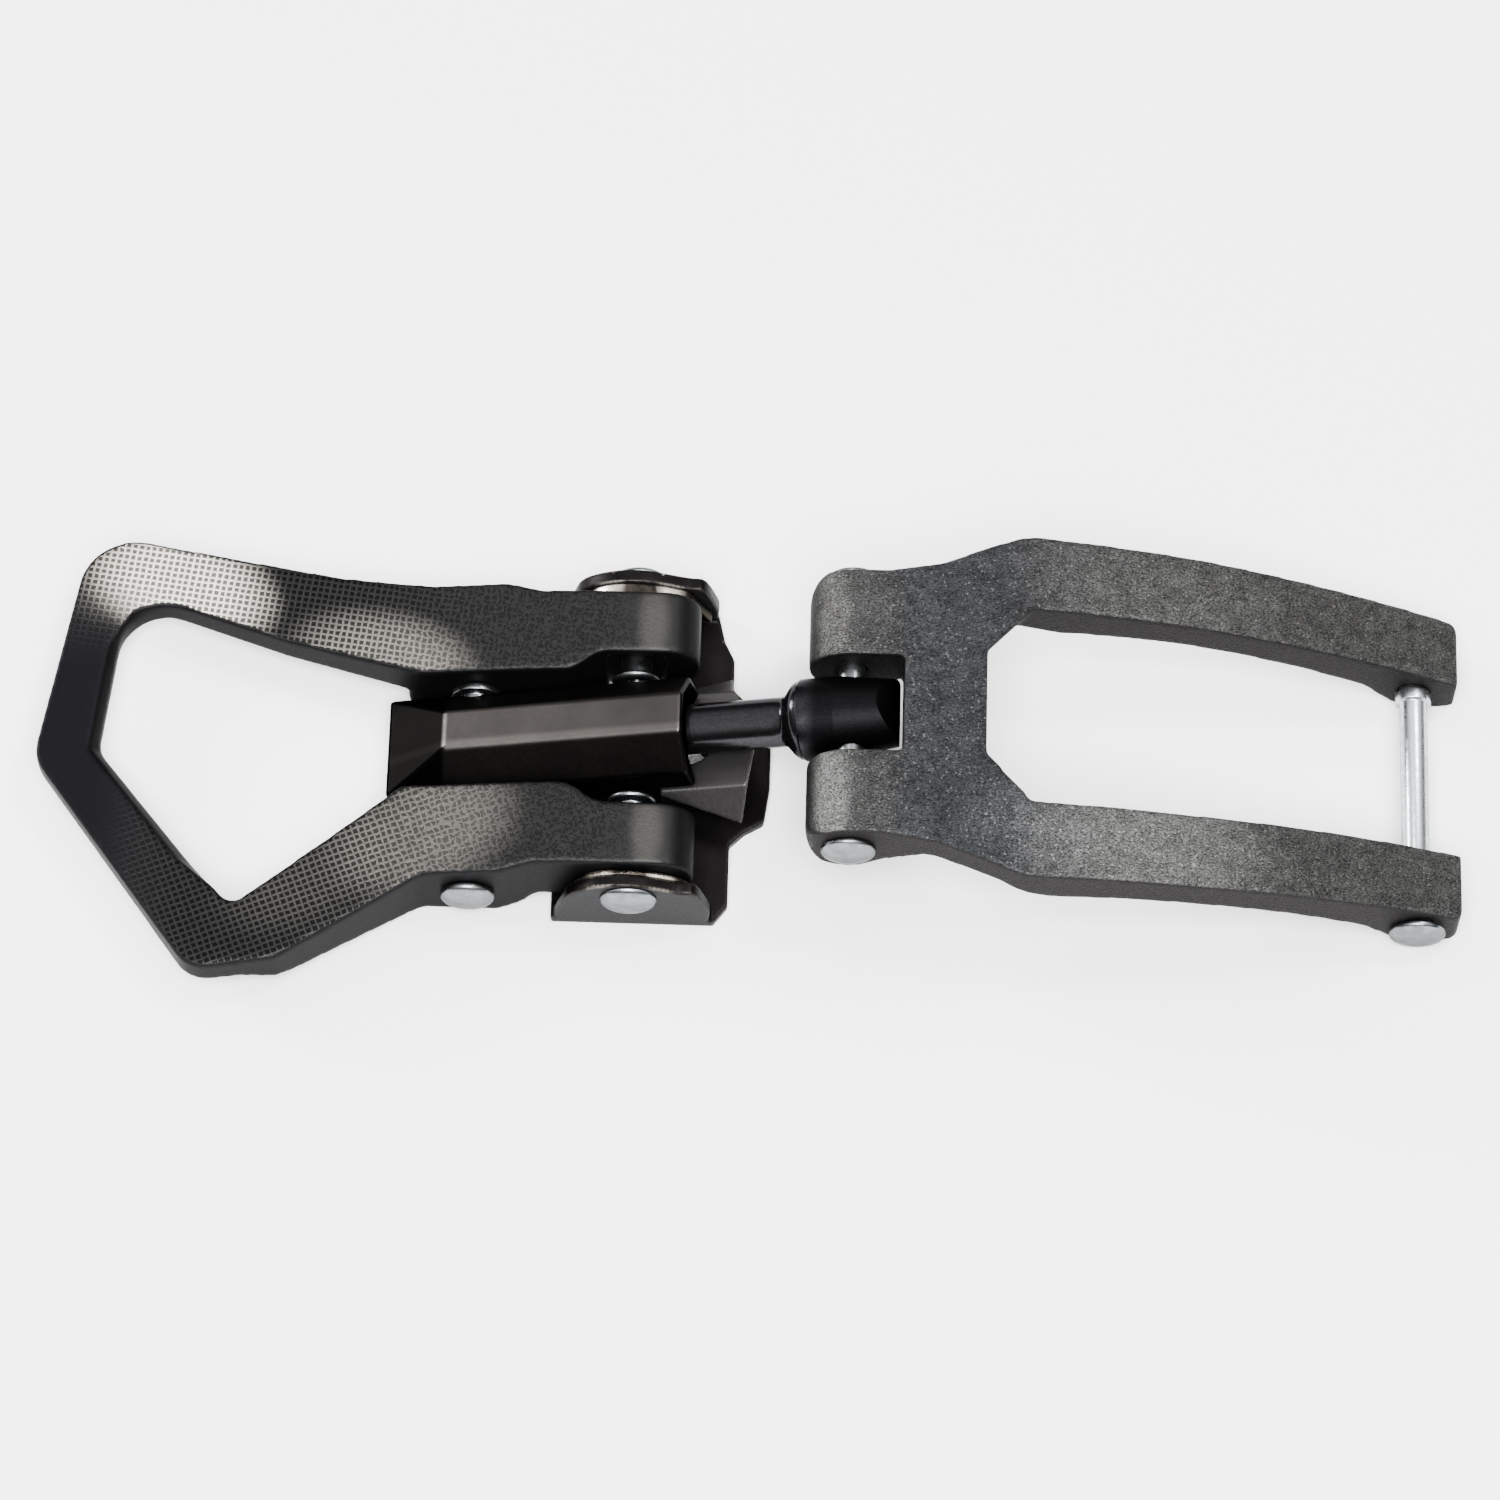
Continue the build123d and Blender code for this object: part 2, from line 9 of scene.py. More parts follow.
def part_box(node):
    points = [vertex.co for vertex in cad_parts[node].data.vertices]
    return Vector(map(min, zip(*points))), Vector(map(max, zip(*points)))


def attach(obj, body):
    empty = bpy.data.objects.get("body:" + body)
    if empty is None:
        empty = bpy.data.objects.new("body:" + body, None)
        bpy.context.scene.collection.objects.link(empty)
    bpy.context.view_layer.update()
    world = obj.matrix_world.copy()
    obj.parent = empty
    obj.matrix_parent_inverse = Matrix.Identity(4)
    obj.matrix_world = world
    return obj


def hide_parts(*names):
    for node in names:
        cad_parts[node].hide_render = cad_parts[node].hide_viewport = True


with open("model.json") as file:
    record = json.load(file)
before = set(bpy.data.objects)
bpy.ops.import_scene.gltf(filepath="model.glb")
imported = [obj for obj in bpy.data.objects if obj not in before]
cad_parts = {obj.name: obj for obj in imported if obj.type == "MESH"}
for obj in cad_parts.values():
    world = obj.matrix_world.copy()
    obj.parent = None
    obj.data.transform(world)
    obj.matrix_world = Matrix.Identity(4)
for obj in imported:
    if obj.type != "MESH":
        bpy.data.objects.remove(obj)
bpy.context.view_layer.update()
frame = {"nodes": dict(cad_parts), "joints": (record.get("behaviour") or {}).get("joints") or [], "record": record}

# An over-centre lever buckle. The lever's pivot is above the origin and the rod runs out towards
# +X. "Near" is -Y, the camera's side and the record's left, and "far" is +Y. Sizes are in
# millimetres, and MM turns them into Blender's metres.
MM = 0.001
WELD_DISTANCE = 0.001 * MM
body_of = {
    node: body for body, nodes in frame["record"]["behaviour"]["bodies"].items() for node in nodes
}
slot_of = {part["node"]: part["material_slot"] for part in frame["record"]["subparts"]}
hinge_at = {
    joint["name"]: Vector(joint["pos_m"]) / MM for joint in frame["joints"] if "pos_m" in joint
}


# --- shader helpers -------------------------------------------------------------
class Shader:
    """A node material under construction. Its place is in millimetres, in the part's frame."""

    def __init__(self, name):
        self.material = bpy.data.materials.new(name)
        self.material.use_nodes = True
        self.nodes = self.material.node_tree.nodes
        self.links = self.material.node_tree.links
        self.surface = self.nodes["Principled BSDF"]
        coordinates = self.nodes.new("ShaderNodeTexCoord")
        scale = self.nodes.new("ShaderNodeVectorMath")
        scale.operation = "SCALE"
        scale.inputs["Scale"].default_value = 1 / MM
        self.join(coordinates.outputs["Object"], scale.inputs[0])
        self.place = scale.outputs[0]
        self.x, self.y, self.z = self.parts(self.place)
        self.upward = self.parts(coordinates.outputs["Normal"])[2]

    def join(self, source, target):
        self.links.new(source, target)

    def feed(self, node, sockets, values):
        """Join each value that is an output, and set each that is a number or a colour."""
        for name, value in zip(sockets, values):
            socket = node.inputs[name]
            if isinstance(value, (int, float)):
                socket.default_value = value
            elif isinstance(value, tuple):
                socket.default_value = (*value, 1)[: len(socket.default_value)]
            else:
                self.join(value, socket)

    def finish(self, colour=None, roughness=None, normal=None, **constants):
        """Join what varies over the surface, and set what doesn't on the shader's own sockets."""
        for name, value in (("Base Color", colour), ("Roughness", roughness), ("Normal", normal)):
            if value is not None:
                self.join(value, self.surface.inputs[name])
        for name, value in constants.items():
            self.surface.inputs[name.replace("_", " ")].default_value = value
        return self.material

    def parts(self, vector):
        node = self.nodes.new("ShaderNodeSeparateXYZ")
        self.join(vector, node.inputs[0])
        return node.outputs["X"], node.outputs["Y"], node.outputs["Z"]

    def stretched(self, x, y, z):
        """The place, with each axis scaled, for grain that runs one way."""
        node = self.nodes.new("ShaderNodeVectorMath")
        node.operation = "MULTIPLY"
        self.join(self.place, node.inputs[0])
        node.inputs[1].default_value = (x, y, z)
        return node.outputs[0]

    def noise(self, size, detail=3.0, roughness=0.6, place=None):
        """Noise from 0 to 1 whose coarsest features are about this many millimetres."""
        node = self.nodes.new("ShaderNodeTexNoise")
        self.join(place or self.place, node.inputs["Vector"])
        self.feed(node, ("Scale", "Detail", "Roughness"), (1 / size, detail, roughness))
        return node.outputs["Fac"]

    def flakes(self, size):
        """A random value for each cell of about this size."""
        node = self.nodes.new("ShaderNodeTexVoronoi")
        self.join(self.place, node.inputs["Vector"])
        node.inputs["Scale"].default_value = 1 / size
        return self.parts(node.outputs["Color"])[0]

    def math(self, operation, *values):
        node = self.nodes.new("ShaderNodeMath")
        node.operation = operation
        self.feed(node, range(3), values)
        return node.outputs["Value"]

    def chain(self, operation, values):
        """All the values, joined two at a time by the same operation."""
        result = values[0]
        for value in values[1:]:
            result = self.math(operation, result, value)
        return result

    def product(self, *values):
        return self.chain("MULTIPLY", values)

    def total(self, *values):
        return self.chain("ADD", values)

    def step(self, value, start, end, low=0.0, high=1.0):
        """Smoothly from low to high as the value goes from start to end."""
        node = self.nodes.new("ShaderNodeMapRange")
        node.interpolation_type = "SMOOTHSTEP"
        self.feed(node, range(5), (value, start, end, low, high))
        return node.outputs[0]

    def within(self, axis, edges, soft=1.0):
        """1 between two edges along an axis, and 0 past them."""
        low, high = edges
        return self.product(
            self.step(axis, low, low + soft), self.step(axis, high, high - soft)
        )

    def patch(self, centre, radii, turn=0.0, amount=1.0):
        """A soft ellipse in plan, turned by so many degrees, that fades from the amount to 0."""
        across = self.math("SUBTRACT", self.x, centre[0])
        along = self.math("SUBTRACT", self.y, centre[1])
        c, s = cos(radians(turn)), sin(radians(turn))
        terms = []
        for a, b, radius in ((c, s, radii[0]), (-s, c, radii[1])):
            part = self.math(
                "MULTIPLY_ADD", across, a / radius, self.product(along, b / radius)
            )
            terms.append(self.product(part, part))
        inside = self.math("POWER", self.step(self.total(*terms), 1.0, 0.0), 1.5)
        return self.product(inside, amount)

    def patches(self, table):
        """The sum of a table of soft ellipses."""
        return self.total(*[self.patch(*row) for row in table])

    def mix(self, factor, a, b):
        node = self.nodes.new("ShaderNodeMix")
        node.data_type = "RGBA"
        self.feed(node, (0, 6, 7), (factor, a, b))
        return node.outputs[2]

    def scaled(self, colour, factor):
        """A colour times a factor that varies over the surface."""
        node = self.nodes.new("ShaderNodeVectorMath")
        node.operation = "SCALE"
        self.feed(node, (0, "Scale"), (colour, factor))
        return node.outputs[0]

    def bump(self, height, depth):
        """Relief of this many millimetres."""
        node = self.nodes.new("ShaderNodeBump")
        node.inputs["Distance"].default_value = depth * MM
        self.join(height, node.inputs["Height"])
        return node.outputs["Normal"]

    def edges(self, start, end):
        """1 on outer edges and 0 on flats, from how far the surface bulges."""
        geometry = self.nodes.new("ShaderNodeNewGeometry")
        return self.step(geometry.outputs["Pointiness"], start, end)


# --- materials ------------------------------------------------------------------
DULL_RIM = (0.5, 0.5, 0.5, 1)  # how much finishes reflect at a grazing angle
COAT_SPECULAR = 0.15

# The lever's woven relief: one pit and one thread, and how far it turns to follow each arm
WEAVE_PITCH = 0.65
WEAVE_TURN_FAR = radians(8)
WEAVE_TURN_NEAR = radians(-22)

# Painted highlights on the lever, as soft ellipses in plan: centre, radii, turn in degrees, and amount
LEVER_PAINTED_HIGHLIGHTS = (
    ((-46.2, 15.8), (12.0, 7.6), -22.0, 1.0),    # the loop's far side, the brightest
    ((-51.5, 17.0), (8.5, 7.5), 0.0, 0.10),      # left of it
    ((-25.5, 7.6), (12.0, 6.8), -14.0, 0.17),    # the far arm
    ((-20.5, -11.0), (12.5, 9.0), 25.0, 0.085),  # the near arm
    ((-32.0, -15.5), (12.0, 8.0), 25.0, 0.03),   # left of it
    ((1.6, 11.5), (2.2, 6.0), 0.0, 0.03),        # over the pivot, far side
    ((1.6, -11.5), (2.2, 6.0), 0.0, 0.03),       # over the pivot, near side
)
# Painted highlights on the yoke, as soft ellipses in plan: centre, radii, turn in degrees, and amount
YOKE_PAINTED_HIGHLIGHTS = (
    ((49.0, -13.5), (19.0, 9.0), -4.0, 1.25),    # the near arm's top
    ((51.0, 14.0), (18.0, 8.0), -4.0, 0.35),     # the far arm's top
    ((19.6, -10.0), (2.6, 10.0), 0.0, 1.5),      # the slope at the left end, near side
    ((19.6, 10.0), (2.4, 9.0), 0.0, 0.6),        # the same, far side
)
# Where the lever's arms rub the tops of the ears and shims, on both sides of the pivot
LEVER_RUBS = [((x, y), (1.8, 3.0)) for x in (-3.0, 3.2) for y in (-16.0, 16.4)]


def weave_pits(shader):
    """1 in the square pits between the threads of the lever's relief, which follow each arm."""
    turn = shader.nodes.new("ShaderNodeVectorRotate")
    turn.rotation_type = "Z_AXIS"
    shader.join(shader.place, turn.inputs["Vector"])
    shader.join(
        shader.step(shader.y, -0.1, 0.1, WEAVE_TURN_NEAR, WEAVE_TURN_FAR), turn.inputs["Angle"]
    )
    across, along, _ = shader.parts(turn.outputs["Vector"])
    disorder = shader.step(shader.x, -30.0, -6.0, 0.25, 2.2)
    waves = []
    for axis, size in ((across, 1.1), (along, 0.9)):
        wander = shader.product(shader.noise(size, 2), disorder)
        turns = shader.product(shader.total(axis, wander), 2 * pi / WEAVE_PITCH)
        waves.append(shader.math("MULTIPLY_ADD", shader.math("COSINE", turns), 0.5, 0.5))
    return shader.step(shader.math("MINIMUM", *waves), 0.12, 0.44)


def lever_coat():
    """Graphite coat with a woven relief on the loop, which loses its order along the arms, with painted
    highlights, and painted shade on the left bar, in the pits and on the sides.
    """
    shader = Shader("lever_coat")
    fine = shader.noise(0.16, 3, 0.7, shader.stretched(1, 1.4, 1))
    brushed = shader.noise(0.3, 3, 0.7, shader.stretched(0.5, 2.4, 1))
    top = shader.step(shader.upward, 0.72, 0.95)
    bar = shader.product(
        shader.step(shader.x, -44.0, -54.0), shader.step(shader.y, 17.0, 6.0)
    )
    # no relief on the smooth left bar and nose, and less of it along the arms
    relief = shader.product(
        top,
        shader.math("SUBTRACT", 1.0, bar),
        shader.step(shader.x, -4.0, 3.0, 1.0, 0.0),
        shader.step(shader.x, -30.0, -14.0, 1.0, 0.55),
    )
    pits = shader.product(weave_pits(shader), relief)
    # painted highlight: a light bronze colour on upward faces inside these patches
    painted_highlight = shader.product(
        shader.patches(LEVER_PAINTED_HIGHLIGHTS),
        shader.step(shader.upward, 0.90, 0.99),
        shader.step(brushed, 0.3, 0.7, 0.8, 1.2),
    )
    threads = shader.mix(fine, (0.005, 0.005, 0.005), (0.022, 0.022, 0.022))
    bright = shader.mix(fine, (0.50, 0.455, 0.405), (0.95, 0.90, 0.82))
    coat = shader.mix(painted_highlight, threads, bright)
    # painted shade: the left bar is painted near black
    coat = shader.mix(bar, coat, (0.0050, 0.0050, 0.0060))
    # painted shade: the weave's pits are painted near black, as shade in the recesses
    coat = shader.mix(shader.product(pits, 0.85), coat, (0.0015, 0.0015, 0.0015))
    # painted shade: faces that don't face up get one flat dark colour
    coat = shader.mix(top, (0.010, 0.010, 0.0105), coat)
    rough = shader.step(fine, 0.3, 0.7, 0.40, 0.50)
    height = shader.math("MULTIPLY_ADD", pits, -1.0, shader.product(fine, 0.25))
    return shader.finish(
        coat,
        rough,
        shader.bump(height, 0.06),
        Metallic=0.9,
        Specular_IOR_Level=COAT_SPECULAR,
        Specular_Tint=DULL_RIM,
    )


def yoke_coat():
    """Gunmetal powder coat: fine metallic speckle, bluer on the bridge, with painted highlights in places and
    painted shade on the sides.
    """
    shader = Shader("yoke_coat")
    fine = shader.noise(0.20, 3, 0.7, shader.stretched(0.8, 1.3, 1))
    fine = shader.step(fine, 0.32, 0.70)
    sparkle = shader.step(shader.flakes(0.16), 0.93, 1.0)
    broad = shader.noise(1.6, 3, 0.6)
    warm = shader.mix(fine, (0.008, 0.008, 0.008), (0.060, 0.059, 0.057))
    cool = shader.mix(fine, (0.006, 0.0063, 0.007), (0.037, 0.039, 0.042))
    bridge = shader.product(
        shader.step(shader.x, 20.0, 30.0), shader.step(shader.x, 47.0, 33.0)
    )
    coat = shader.mix(bridge, warm, cool)
    coat = shader.scaled(coat, shader.step(broad, 0.3, 0.7, 0.75, 1.2))
    coat = shader.mix(shader.product(sparkle, 0.25), coat, (0.25, 0.25, 0.24))
    # painted highlight: lighter in these patches, on a scale that grows from 0.92 to 1 towards the right end
    wear_and_painted_highlight = shader.total(
        shader.patches(YOKE_PAINTED_HIGHLIGHTS), shader.step(shader.x, 58.0, 80.0, 0.92, 1.0)
    )
    coat = shader.scaled(coat, wear_and_painted_highlight)
    # painted shade: faces that don't face up are painted dark
    coat = shader.mix(shader.step(shader.upward, 0.25, 0.75), (0.015, 0.014, 0.014), coat)
    worn = shader.product(shader.edges(0.52, 0.58), 0.35)
    coat = shader.mix(worn, coat, (0.08, 0.078, 0.075))
    rough = shader.step(fine, 0.0, 1.0, 0.50, 0.38)
    height = shader.math("MULTIPLY_ADD", broad, 0.4, fine)
    return shader.finish(
        coat,
        rough,
        shader.bump(height, 0.04),
        Metallic=0.9,
        Specular_IOR_Level=COAT_SPECULAR,
        Specular_Tint=DULL_RIM,
    )


def base_steel():
    """Black pressed steel, worn bright on the ears' rims, with a painted reflection that makes the folded saddle
    greyer and upright faces painted lighter than flat ones.
    """
    shader = Shader("base_steel")
    fine = shader.noise(0.3, 3)
    broad = shader.noise(4.0, 3)
    coat = shader.scaled((0.0045, 0.0038, 0.0040), shader.step(broad, 0.3, 0.7, 0.8, 1.25))
    saddle = shader.product(
        shader.within(shader.y, (-14.0, 14.0)), shader.step(shader.z, 2.6, 3.6)
    )
    # painted reflection: the folded saddle is painted greyer
    coat = shader.mix(saddle, coat, (0.030, 0.028, 0.029))
    upright = shader.step(shader.upward, 0.5, 0.1)
    # painted light and shade: upright faces are painted lighter than flat ones
    coat = shader.mix(upright, coat, (0.020, 0.020, 0.021))
    wear = shader.math("MULTIPLY_ADD", shader.patches(LEVER_RUBS), 0.8, 0.08)
    wear_and_painted_highlight = shader.product(
        shader.edges(0.51, 0.57), wear, shader.step(fine, 0.3, 0.6, 0.5, 1.0)
    )
    coat = shader.mix(wear_and_painted_highlight, coat, (0.42, 0.38, 0.33))
    rough = shader.step(fine, 0.3, 0.7, 0.34, 0.46)
    return shader.finish(
        coat,
        rough,
        shader.bump(fine, 0.008),
        Metallic=0.8,
        Specular_IOR_Level=COAT_SPECULAR,
        Specular_Tint=DULL_RIM,
    )


def shim_steel():
    """Bare spring steel, dull except where the lever rubs it."""
    shader = Shader("shim_steel")
    fine = shader.noise(0.3, 3, 0.6, shader.stretched(1, 1, 3))
    dull = shader.mix(fine, (0.010, 0.0085, 0.007), (0.030, 0.026, 0.022))
    coat = shader.mix(shader.patches(LEVER_RUBS), dull, (0.50, 0.45, 0.39))
    rough = shader.step(fine, 0.3, 0.7, 0.25, 0.40)
    return shader.finish(
        coat, rough, shader.bump(fine, 0.006), Metallic=1.0, Specular_Tint=DULL_RIM
    )


def housing_coat():
    """Black satin coat on folded facets, lighter bronze grey on the top one, with the other facets and the tail's
    bevel painted dark as shade and a painted highlight by the near edge.
    """
    shader = Shader("housing_coat")
    fine = shader.noise(0.35, 2)
    broad = shader.noise(6.0, 2)
    from_edge = shader.math("ABSOLUTE", shader.total(shader.y, 1.6))
    coat = shader.scaled((0.036, 0.033, 0.031), shader.step(broad, 0.3, 0.7, 0.9, 1.1))
    for factor in (
        shader.step(from_edge, 0.7, 0.0, 1.0, 1.8),          # a painted highlight, a light line by its near edge
        shader.step(shader.x, -17.0, 6.0, 1.25, 0.85),       # darker towards the mouth
        shader.step(shader.upward, 0.82, 0.93, 0.22, 1.0),   # painted shade: facets that don't face up are darker
        shader.step(shader.x, -18.7, -19.3, 1.0, 0.16),      # painted shade: the tail's bevel is darker
    ):
        coat = shader.scaled(coat, factor)
    rough = shader.step(fine, 0.3, 0.7, 0.30, 0.36)
    return shader.finish(
        coat,
        rough,
        shader.bump(fine, 0.003),
        Metallic=0.95,
        Specular_IOR_Level=COAT_SPECULAR,
        Specular_Tint=DULL_RIM,
    )


def rod_black():
    """Black finish, glossy on the turned neck and satin on the eye."""
    shader = Shader("rod_black")
    fine = shader.noise(0.25, 3)
    satin = shader.step(shader.x, 15.5, 18.0)
    rough = shader.step(satin, 0.0, 1.0, 0.14, 0.42)
    rough = shader.math("MULTIPLY_ADD", fine, 0.08, rough)
    colour = shader.mix(satin, (0.024, 0.024, 0.026), (0.0036, 0.0036, 0.0040))
    colour = shader.scaled(colour, shader.step(fine, 0.3, 0.7, 0.8, 1.2))
    return shader.finish(
        colour,
        rough,
        shader.bump(fine, 0.002),
        Metallic=0.95,
        Specular_IOR_Level=0.1,
        Specular_Tint=DULL_RIM,
    )


def zinc_steel():
    """Zinc plated steel: dull heads, a brighter catch pin, and fine turning marks."""
    shader = Shader("zinc_steel")
    marks = shader.noise(0.15, 2, 0.5, shader.stretched(0.3, 3.0, 0.3))
    spots = shader.noise(1.2, 3)
    dark, light = (0.125, 0.13, 0.135), (0.17, 0.18, 0.19)
    colour = shader.mix(shader.step(spots, 0.3, 0.7), dark, light)
    catch = shader.product(
        shader.step(shader.x, 70.0, 72.0), shader.step(shader.y, -16.9, -16.0)
    )
    colour = shader.scaled(colour, shader.step(catch, 0.0, 1.0, 1.0, 3.2))
    rough = shader.step(spots, 0.3, 0.7, 0.34, 0.24)
    return shader.finish(
        colour, rough, shader.bump(marks, 0.003), Metallic=1.0, Specular_Tint=DULL_RIM
    )


materials = {
    make.__name__: make()
    for make in (
        lever_coat,
        yoke_coat,
        housing_coat,
        rod_black,
        base_steel,
        shim_steel,
        zinc_steel,
    )
}


# --- pieces ---------------------------------------------------------------------
def show(name, mesh, node):
    """Make a mesh the visible piece for a CAD node, with its body and its finish."""
    piece = bpy.data.objects.new(name, mesh)
    bpy.context.collection.objects.link(piece)
    mesh.materials.clear()
    mesh.materials.append(materials[slot_of[node]])
    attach(piece, body_of[node])
    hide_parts(node)
    return piece


def baked(mesh, *modifiers):
    """The mesh after these modifiers, each a type and its settings."""
    work = bpy.data.objects.new("work", mesh)
    bpy.context.collection.objects.link(work)
    for kind, settings in modifiers:
        modifier = work.modifiers.new(kind.lower(), kind)
        for name, value in settings.items():
            setattr(modifier, name, value)
    graph = bpy.context.evaluated_depsgraph_get()
    result = bpy.data.meshes.new_from_object(work.evaluated_get(graph))
    bpy.data.objects.remove(work)
    return result


def softened(node, grid, rounds):
    """The node's own shape with its edges rounded, as cast or pressed and then coated."""
    mesh = baked(
        frame["nodes"][node].data.copy(),
        ("WELD", {"merge_threshold": WELD_DISTANCE}),
        ("REMESH", {"mode": "VOXEL", "voxel_size": grid * MM}),
        ("SMOOTH", {"factor": 0.5, "iterations": rounds}),
    )
    mesh.shade_smooth()
    return show(f"{node}_form", mesh, node)


def rounding(width, sharpest, **settings):
    """A bevel modifier for the edges that turn by more than this many degrees."""
    return (
        "BEVEL",
        {
            "width": width * MM,
            "segments": 3,
            "limit_method": "ANGLE",
            "angle_limit": radians(sharpest),
            **settings,
        },
    )


def bevelled(node, width):
    """The node's own shape with its sharp edges broken by a small rounded bevel."""
    source = frame["nodes"][node].data.copy()
    source.attributes.remove(source.attributes["custom_normal"])
    source.shade_smooth()
    mesh = baked(
        source,
        ("WELD", {"merge_threshold": WELD_DISTANCE}),
        ("DECIMATE", {"decimate_type": "DISSOLVE", "angle_limit": radians(0.5)}),
        rounding(width, 25, use_clamp_overlap=False),
        ("WEIGHTED_NORMAL", {"weight": 100, "thresh": 0.1}),
    )
    return show(f"{node}_form", mesh, node)


softened("lever", 0.24, 18)
softened("yoke", 0.20, 18)
bevelled("link_housing", 0.42)
bevelled("ear_shim_left", 0.15)
bevelled("ear_shim_right", 0.15)
softened("base_plate", 0.16, 9)
softened("guide_saddle", 0.13, 9)


# Turned pieces. A profile is a list of (along Y, radius) from one end to the other, and both
# ends are on the axis.
SEGMENTS = 72
DOME_STEPS = 8
PIVOT_R = 1.6
PIVOT_HEAD_R = 2.8
PIVOT_HEAD_T = 1.0
PIVOT_RIM_T = 0.12
PIVOT_DOME = 0.86
LINK_R = 1.5
LINK_HEAD_R = 2.7
LINK_HEAD_T = 1.2
LINK_RIM_T = 0.35
LINK_DOME = 0.84
LINK_COLLAR_R = 2.5
LINK_COLLAR = (1.1, 1.8)    # where the collar starts and ends, from the pin's inner end
YOKE_PIN_R = 1.5
YOKE_HEAD_R = 2.7
CATCH_R = 1.4
CATCH_HEAD_R = 2.8
CATCH_COLLAR_R = 1.8
CATCH_COLLAR = (8.1, 9.3)   # where the collar starts and ends, along Y
CATCH_TIP = 0.3
LOW_HEAD_T = 0.9
# A pivot rivet's inner head is flared like a tube: (from its end, radius)
FLARE = (
    (1.5, 0.0),
    (1.4, 0.8),
    (0.35, 1.1),
    (0.05, 1.5),
    (0.0, 1.85),
    (0.12, 2.25),
    (0.4, 2.5),
    (0.7, 2.35),
    (0.88, PIVOT_R),
)


def dome(rim, radius, rise):
    """Profile of a domed head, from its rim at this place along the axis to its top."""
    points = []
    for i in range(1, DOME_STEPS + 1):
        angle = i / DOME_STEPS * pi / 2
        points.append((rim + rise * sin(angle), radius * cos(angle) if i < DOME_STEPS else 0.0))
    return points


def low_head(end, inwards, radius):
    """Profile of a nearly flat head, from its middle at this end to its underside's rim."""
    steps = ((0.0, -radius), (0.05, -1.1), (0.35, -0.15), (0.5, 0.0), (LOW_HEAD_T, 0.0))
    return [(end + inwards * along, radius + change) for along, change in steps]


def lathe(name, node, profile, centre, flip=1):
    """A turned piece along Y, about a centre given in millimetres."""
    form = bmesh.new()
    rings = []
    for along, radius in profile:
        if radius == 0:
            rings.append([form.verts.new((centre.x, flip * along, centre.z))])
            continue
        ring = []
        for i in range(SEGMENTS):
            angle = 2 * pi * i / SEGMENTS
            place = (centre.x + radius * cos(angle), flip * along, centre.z + radius * sin(angle))
            ring.append(form.verts.new(place))
        rings.append(ring)
    for a, b in zip(rings, rings[1:]):
        for i in range(SEGMENTS):
            j = (i + 1) % SEGMENTS
            corners = [a[i % len(a)], a[j % len(a)], b[j % len(b)], b[i % len(b)]]
            form.faces.new(list(dict.fromkeys(corners)))
    bmesh.ops.recalc_face_normals(form, faces=form.faces)
    bmesh.ops.scale(form, vec=(MM, MM, MM), verts=form.verts)
    mesh = bpy.data.meshes.new(name)
    form.to_mesh(mesh)
    form.free()
    mesh = baked(mesh, rounding(0.12, 35))
    mesh.shade_smooth()
    return show(name, mesh, node)


def reach(node):
    """The node's ends along Y, as distances from the middle plane, inner one first."""
    low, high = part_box(node)
    return sorted((abs(low.y) / MM, abs(high.y) / MM))


pivot = hinge_at["lever_swing"]
link = hinge_at["link_swing"]
for side, name in ((-1, "left"), (1, "right")):
    inner, outer = reach(f"pivot_rivet_{name}")
    rim = outer - PIVOT_HEAD_T
    rivet_profile = [
        *[(inner + along, radius) for along, radius in FLARE],
        (rim, PIVOT_R),
        (rim, PIVOT_HEAD_R),
        (rim + PIVOT_RIM_T, PIVOT_HEAD_R),
        *dome(rim + PIVOT_RIM_T, PIVOT_HEAD_R, PIVOT_DOME),
    ]
    lathe(f"pivot_rivet_{name}_form", f"pivot_rivet_{name}", rivet_profile, pivot, side)

    inner, outer = reach(f"link_pin_{name}")
    rim = outer - LINK_HEAD_T
    collar_start, collar_end = (inner + along for along in LINK_COLLAR)
    pin_profile = [
        (inner, 0.0),
        (inner, LINK_R),
        (collar_start, LINK_R),
        (collar_start, LINK_COLLAR_R),
        (collar_end, LINK_COLLAR_R),
        (collar_end, LINK_R),
        (rim, LINK_R),
        (rim, LINK_HEAD_R),
        (rim + LINK_RIM_T, LINK_HEAD_R),
        *dome(rim + LINK_RIM_T, LINK_HEAD_R, LINK_DOME),
    ]
    lathe(f"link_pin_{name}_form", f"link_pin_{name}", pin_profile, link, side)

low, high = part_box("yoke_pin")
near, far = low.y / MM, high.y / MM
yoke_pin_profile = [
    *low_head(near, 1, YOKE_HEAD_R),
    (near + LOW_HEAD_T, YOKE_PIN_R),
    (far - LOW_HEAD_T, YOKE_PIN_R),
    *reversed(low_head(far, -1, YOKE_HEAD_R)),
]
lathe("yoke_pin_form", "yoke_pin", yoke_pin_profile, hinge_at["yoke_swing"])

low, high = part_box("catch_pin")
near, far = low.y / MM, high.y / MM
catch_centre = Vector(((low.x + high.x) / 2, 0, (low.z + high.z) / 2)) / MM
catch_pin_profile = [
    *low_head(near, 1, CATCH_HEAD_R),
    (near + LOW_HEAD_T, CATCH_R),
    (CATCH_COLLAR[0], CATCH_R),
    (CATCH_COLLAR[0], CATCH_COLLAR_R),
    (CATCH_COLLAR[1], CATCH_COLLAR_R),
    (CATCH_COLLAR[1], CATCH_R),
    (far - CATCH_TIP, CATCH_R),
    (far, CATCH_R - CATCH_TIP),
    (far, 0.0),
]
lathe("catch_pin_form", "catch_pin", catch_pin_profile, catch_centre)

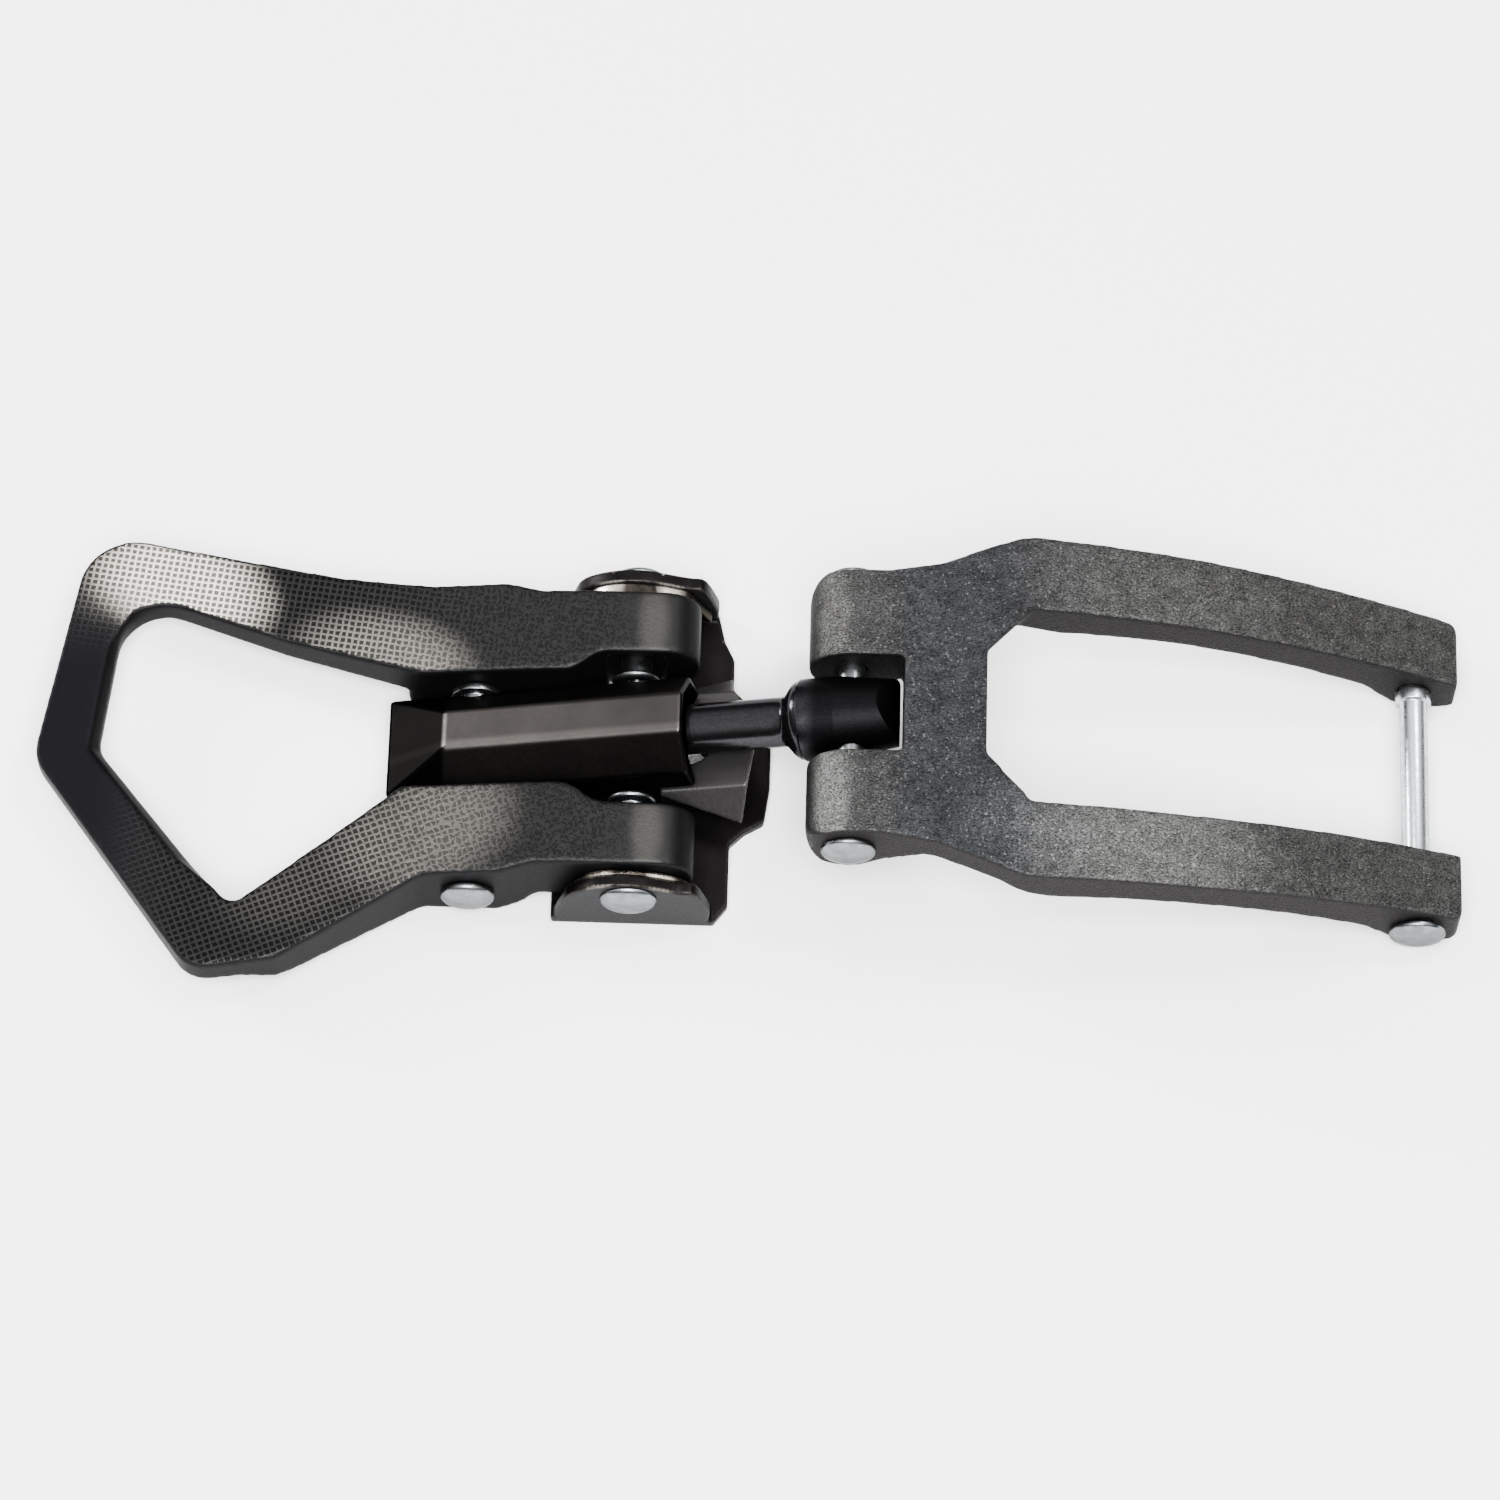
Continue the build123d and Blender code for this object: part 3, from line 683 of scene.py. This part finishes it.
# The rod, the nut and the end stop are shown as they are in the CAD
for node, obj in frame["nodes"].items():
    if not obj.hide_render:
        obj.data.materials.clear()
        obj.data.materials.append(materials[slot_of[node]])


# --- camera, light and floor ----------------------------------------------------
def aim(obj, target, roll=0.0):
    """Point an object's -Z at a target, upright, then roll it about its view."""
    look = (target - obj.location).to_track_quat("-Z", "Y").to_matrix().to_4x4()
    obj.matrix_world = Matrix.Translation(obj.location) @ look @ Matrix.Rotation(roll, 4, "Z")


VIEW_TARGET = Vector((11.6, -0.15, 5.7)) * MM
VIEW_ELEVATION = radians(65)
VIEW_ROLL = radians(1.7)
VIEW_DISTANCE = 0.65
FRAME_WIDTH = 0.150  # what the picture spans at the target
SENSOR_WIDTH = 36
view_direction = Vector((0, -cos(VIEW_ELEVATION), sin(VIEW_ELEVATION)))
camera = bpy.data.objects.new("camera", bpy.data.cameras.new("camera"))
bpy.context.collection.objects.link(camera)
camera.data.sensor_width = SENSOR_WIDTH
camera.data.lens = SENSOR_WIDTH * VIEW_DISTANCE / FRAME_WIDTH
camera.data.clip_start = 0.01
camera.location = VIEW_TARGET + VIEW_DISTANCE * view_direction
aim(camera, VIEW_TARGET, VIEW_ROLL)
bpy.context.scene.camera = camera

floor = bpy.data.objects.new("floor", bpy.data.meshes.new("floor"))
floor.data.from_pydata(
    [(-2, -2, 0), (2, -2, 0), (2, 2, 0), (-2, 2, 0)], [], [(0, 1, 2, 3)]
)
floor.location.z = -0.05 * MM  # just under the buckle, so the two never share a plane
bpy.context.collection.objects.link(floor)
paper = Shader("paper")
floor.data.materials.append(paper.finish(Base_Color=(0.98, 0.98, 0.98, 1), Roughness=0.9))


LIGHT_RISES = (0.3, 0.9)  # the heights, of 1, between which the world's light grows


def studio(zenith, horizon):
    """World light that is brightest overhead and weak from the horizon down."""
    world = bpy.data.worlds.new("studio")
    world.use_nodes = True
    nodes = world.node_tree.nodes
    direction = nodes.new("ShaderNodeTexCoord").outputs["Generated"]
    height = nodes.new("ShaderNodeSeparateXYZ")
    strength = nodes.new("ShaderNodeMapRange")
    strength.interpolation_type = "SMOOTHSTEP"
    for socket, value in zip(range(1, 5), (*LIGHT_RISES, horizon, zenith)):
        strength.inputs[socket].default_value = value
    world.node_tree.links.new(direction, height.inputs[0])
    world.node_tree.links.new(height.outputs["Z"], strength.inputs[0])
    world.node_tree.links.new(strength.outputs[0], nodes["Background"].inputs["Strength"])
    nodes["Background"].inputs["Color"].default_value = (1, 1, 1, 1)
    bpy.context.scene.world = world


studio(zenith=2.25, horizon=0.12)
# Square lamps, each with its place and side in metres and its power in watts. The key and the
# strip are above on the far side, the window is low on the far left, and the top is large and
# soft, above on the near side.
for name, place, size, power in (
    ("key", (-0.14, 0.42, 0.66), 0.10, 1.2),
    ("strip", (0.27, 0.15, 0.62), 0.12, 3.0),
    ("window", (-0.80, 0.38, 0.34), 0.24, 16),
    ("top", (0.0, -0.42, 0.85), 0.50, 32),
):
    lamp = bpy.data.lights.new(name, "AREA")
    lamp.size = size
    lamp.energy = power
    obj = bpy.data.objects.new(name, lamp)
    obj.location = place
    bpy.context.collection.objects.link(obj)
    aim(obj, Vector((0, 0, 0)))
